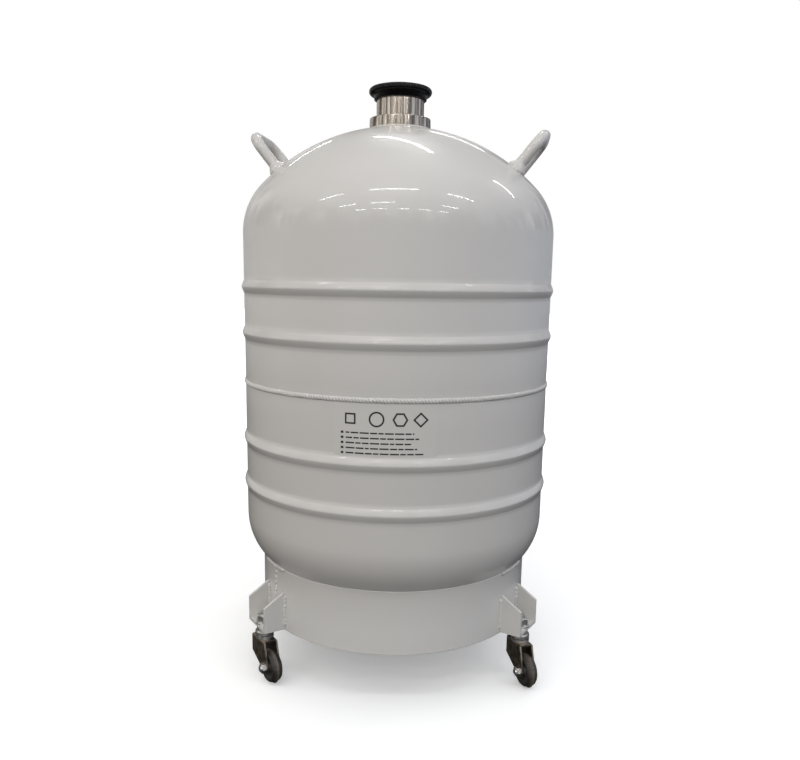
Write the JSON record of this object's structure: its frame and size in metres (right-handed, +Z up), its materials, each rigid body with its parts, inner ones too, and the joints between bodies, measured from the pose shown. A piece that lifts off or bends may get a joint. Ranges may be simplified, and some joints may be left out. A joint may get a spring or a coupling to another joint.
{
  "type": "liquid nitrogen dewar",
  "caption": "Wheeled liquid nitrogen storage dewar: ribbed vacuum vessel with a narrow steel neck, lift-off foam-plugged lid, lifting handles and swivel casters.",
  "frame": {"origin": "on the vessel's vertical axis, on the floor that the casters stand on", "axes": "+Z up along the neck; -Y is the front, which carries the label; +X is the right-hand side seen from the front"},
  "size_m": [0.4619, 0.462, 0.8544],
  "materials": {
    "shell_paint": "gloss",
    "neck_steel": "satin",
    "neck_composite": "satin",
    "inner_aluminium": "satin",
    "foil_blanket": "satin",
    "adsorbent_cloth": "matte",
    "valve_brass": "satin",
    "seal_rubber": "satin",
    "label_film": "satin",
    "cap_plastic": "gloss",
    "plug_foam": "matte",
    "zinc_steel": "satin",
    "fork_steel": "satin",
    "hub_plastic": "satin",
    "tyre_rubber": "matte"
  },
  "bodies": {
    "root": {"upper_shell": "shell_paint", "lower_shell": "shell_paint", "girth_weld": "shell_paint", "neck_ring": "neck_steel", "neck_weld": "shell_paint", "neck_collar": "neck_steel", "neck_tube": "neck_composite", "inner_neck_ring": "inner_aluminium", "inner_vessel_top": "inner_aluminium", "inner_vessel_bottom": "inner_aluminium", "inner_weld": "inner_aluminium", "insulation_wrap": "foil_blanket", "insulation_top_pad": "foil_blanket", "insulation_bottom_pad": "foil_blanket", "adsorbent_ring": "adsorbent_cloth", "evacuation_nozzle": "neck_steel", "evacuation_valve": "valve_brass", "evacuation_seal": "seal_rubber", "handle_left": "shell_paint", "handle_right": "shell_paint", "handle_welds": "shell_paint", "skirt": "shell_paint", "skirt_welds": "shell_paint", "skirt_seam_weld": "shell_paint", "label_sheet": "label_film", "bracket_welds": "shell_paint", "stud_washers": "zinc_steel", "stud_nuts": "zinc_steel", "caster_bracket_front_left": "shell_paint", "caster_bracket_front_right": "shell_paint", "caster_bracket_rear_left": "shell_paint", "caster_bracket_rear_right": "shell_paint", "caster_stem_front_left": "zinc_steel", "caster_stem_front_right": "zinc_steel", "caster_stem_rear_left": "zinc_steel", "caster_stem_rear_right": "zinc_steel"},
    "lid": {"lid_cap": "cap_plastic", "foam_plug": "plug_foam"},
    "fork_front_left": {"caster_fork_front_left": "fork_steel", "caster_bearing_front_left": "zinc_steel", "caster_axle_front_left": "zinc_steel"},
    "wheel_front_left": {"wheel_hub_front_left": "hub_plastic", "wheel_tyre_front_left": "tyre_rubber"},
    "fork_front_right": {"caster_fork_front_right": "fork_steel", "caster_bearing_front_right": "zinc_steel", "caster_axle_front_right": "zinc_steel"},
    "wheel_front_right": {"wheel_hub_front_right": "hub_plastic", "wheel_tyre_front_right": "tyre_rubber"},
    "fork_rear_left": {"caster_fork_rear_left": "fork_steel", "caster_bearing_rear_left": "zinc_steel", "caster_axle_rear_left": "zinc_steel"},
    "wheel_rear_left": {"wheel_hub_rear_left": "hub_plastic", "wheel_tyre_rear_left": "tyre_rubber"},
    "fork_rear_right": {"caster_fork_rear_right": "fork_steel", "caster_bearing_rear_right": "zinc_steel", "caster_axle_rear_right": "zinc_steel"},
    "wheel_rear_right": {"wheel_hub_rear_right": "hub_plastic", "wheel_tyre_rear_right": "tyre_rubber"}
  },
  "joints": [
    {"name": "lid_lift", "type": "slide", "parent": "root", "child": "lid", "axis": [0, 0, 1], "range_m": [0, 0.6]},
    {"name": "swivel_front_left", "type": "hinge", "parent": "root", "child": "fork_front_left", "pos_m": [-0.18806, -0.11797, 0.063], "axis": [0, 0, 1], "continuous": true},
    {"name": "roll_front_left", "type": "hinge", "parent": "fork_front_left", "child": "wheel_front_left", "pos_m": [-0.17587, -0.13507, 0.025], "axis": [0.8141, 0.5807, 0], "continuous": true},
    {"name": "swivel_front_right", "type": "hinge", "parent": "root", "child": "fork_front_right", "pos_m": [0.18806, -0.11797, 0.063], "axis": [0, 0, 1], "continuous": true},
    {"name": "roll_front_right", "type": "hinge", "parent": "fork_front_right", "child": "wheel_front_right", "pos_m": [0.19524, -0.1377, 0.025], "axis": [0.9397, 0.342, 0], "continuous": true},
    {"name": "swivel_rear_left", "type": "hinge", "parent": "root", "child": "fork_rear_left", "pos_m": [-0.18806, 0.11797, 0.063], "axis": [0, 0, 1], "continuous": true},
    {"name": "roll_rear_left", "type": "hinge", "parent": "fork_rear_left", "child": "wheel_rear_left", "pos_m": [-0.19171, 0.13865, 0.025], "axis": [-0.9848, -0.1736, 0], "continuous": true},
    {"name": "swivel_rear_right", "type": "hinge", "parent": "root", "child": "fork_rear_right", "pos_m": [0.18806, 0.11797, 0.063], "axis": [0, 0, 1], "continuous": true},
    {"name": "roll_rear_right", "type": "hinge", "parent": "fork_rear_right", "child": "wheel_rear_right", "pos_m": [0.19792, 0.13651, 0.025], "axis": [-0.8829, 0.4695, 0], "continuous": true}
  ]
}
